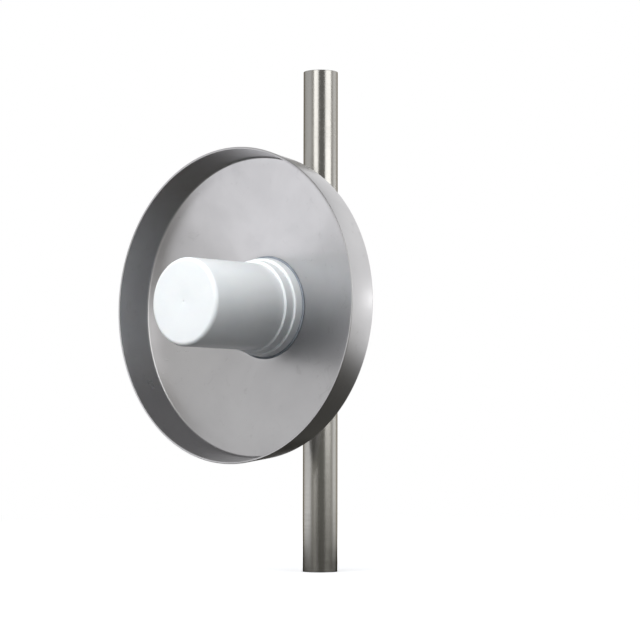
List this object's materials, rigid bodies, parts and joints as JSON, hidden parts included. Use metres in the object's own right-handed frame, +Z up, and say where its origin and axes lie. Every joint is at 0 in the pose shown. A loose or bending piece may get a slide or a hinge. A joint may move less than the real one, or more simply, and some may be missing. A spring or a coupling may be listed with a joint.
{
  "type": "pan reflector antenna on mast",
  "caption": "Shallow round metal pan reflector with a white cylindrical radome at its centre, held by a tilting clamp on a vertical mast tube.",
  "frame": {"origin": "centre of the mast tube at its lower end", "axes": "+Z up along the mast tube, the pan faces -Y, +X to the right of the pan seen from in front"},
  "size_m": [0.424, 0.3077, 0.7],
  "materials": {
    "polished_tube": "polished stainless steel tube",
    "satin_sheet": "satin spun sheet with fine turning marks",
    "white_plastic": "smooth moulded, half gloss",
    "grey_rubber": "moulded rubber",
    "cast_alloy": "fine cast and blasted",
    "black_plastic": "moulded, matt",
    "stainless_fasteners": "plain stainless steel",
    "turned_brass": "turned",
    "nickel_plate": "nickel plated, half bright"
  },
  "bodies": {
    "mast": {"mast_tube": "polished_tube"},
    "liner": {"clamp_liner": "black_plastic"},
    "clamp": {"clamp_front_saddle": "cast_alloy", "clamp_rear_saddle": "cast_alloy", "clamp_bolts": "stainless_fasteners", "clamp_nuts": "stainless_fasteners", "pivot_bolt": "stainless_fasteners", "pivot_nut": "stainless_fasteners"},
    "head": {"lock_bolt": "stainless_fasteners", "lock_nut": "stainless_fasteners", "rear_hub": "cast_alloy", "hub_screws": "stainless_fasteners", "reflector_pan": "satin_sheet", "radome_seal": "grey_rubber", "radome_base_ring": "white_plastic", "radome_cap": "white_plastic", "feed_line": "turned_brass", "dipole_crown": "turned_brass", "sub_reflector": "turned_brass", "port_body": "nickel_plate", "port_pin": "turned_brass"}
  },
  "joints": [
    {"name": "height_slide", "type": "slide", "parent": "mast", "child": "liner", "axis": [0, 0, 1], "range_m": [-0.14, 0.29]},
    {"name": "azimuth_turn", "type": "hinge", "parent": "liner", "child": "clamp", "pos_m": [0, 0, 0.362], "axis": [0, 0, 1], "continuous": true},
    {"name": "tilt_pivot", "type": "hinge", "parent": "clamp", "child": "head", "pos_m": [0, -0.054, 0.374], "axis": [-1, 0, 0], "range_deg": [-20, 20]}
  ]
}
